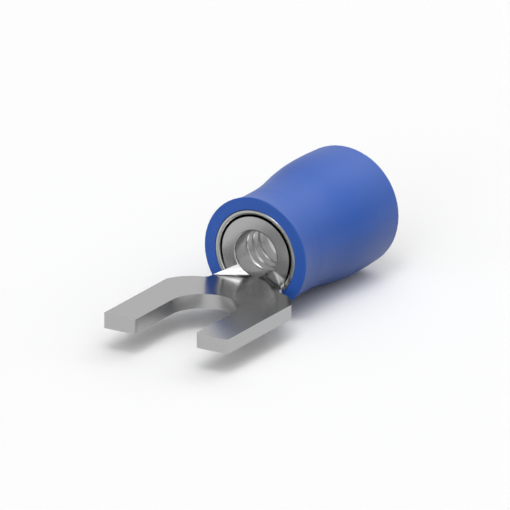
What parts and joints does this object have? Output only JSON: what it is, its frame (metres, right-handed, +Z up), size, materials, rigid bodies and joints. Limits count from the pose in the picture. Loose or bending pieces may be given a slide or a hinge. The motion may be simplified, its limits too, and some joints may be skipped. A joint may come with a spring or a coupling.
{
  "type": "fork terminal",
  "caption": "Insulated fork terminal: an open-ended flat tongue for a screw or stud, and a crimp barrel in a blue sleeve for the wire.",
  "frame": {"origin": "centre of the stud seat, on the underside of the fork tongue", "axes": "+Y from the open end of the fork towards the wire entry, +Z up through the tongue, +X to the right when looking along +Y"},
  "size_m": [0.0076, 0.0181, 0.0067],
  "materials": {
    "tinned_copper": "bright tin plating over copper",
    "tinned_sleeve": "tin plating over copper",
    "blue_insulation": "smooth moulded nylon, semi-matt"
  },
  "bodies": {
    "root": {"terminal_body": "tinned_copper", "support_sleeve": "tinned_sleeve", "insulation_sleeve": "blue_insulation"}
  },
  "joints": []
}
